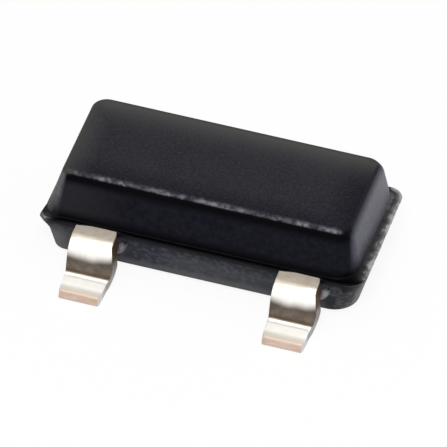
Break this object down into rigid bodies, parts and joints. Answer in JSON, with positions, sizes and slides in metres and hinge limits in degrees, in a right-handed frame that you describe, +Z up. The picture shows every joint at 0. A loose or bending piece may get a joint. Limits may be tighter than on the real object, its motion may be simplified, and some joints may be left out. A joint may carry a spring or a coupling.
{
  "type": "voltage reference ic",
  "caption": "Small moulded voltage reference for surface mounting, with a black resin body and gull-wing leads on both long sides.",
  "frame": {"origin": "under the middle of the part, on the plane that the three feet stand on", "axes": "+X along the body's length, -Y towards the pair of leads, +Y towards the single lead, +Z up from the feet to the flat top face"},
  "size_m": [0.003, 0.0024, 0.0009],
  "materials": {
    "mould_compound": "matte black mould compound with a fine grain",
    "tinned_lead": "matte tin plating over copper alloy",
    "silver_adhesive": "silver-filled adhesive",
    "silicon": "polished silicon",
    "gold_wire": "fine drawn gold"
  },
  "bodies": {
    "root": {"moulded_body": "mould_compound", "lead_1": "tinned_lead", "lead_2": "tinned_lead", "lead_3": "tinned_lead", "die_attach": "silver_adhesive", "die": "silicon", "bond_wire_1": "gold_wire", "bond_wire_2": "gold_wire", "bond_wire_3": "gold_wire"}
  },
  "joints": []
}
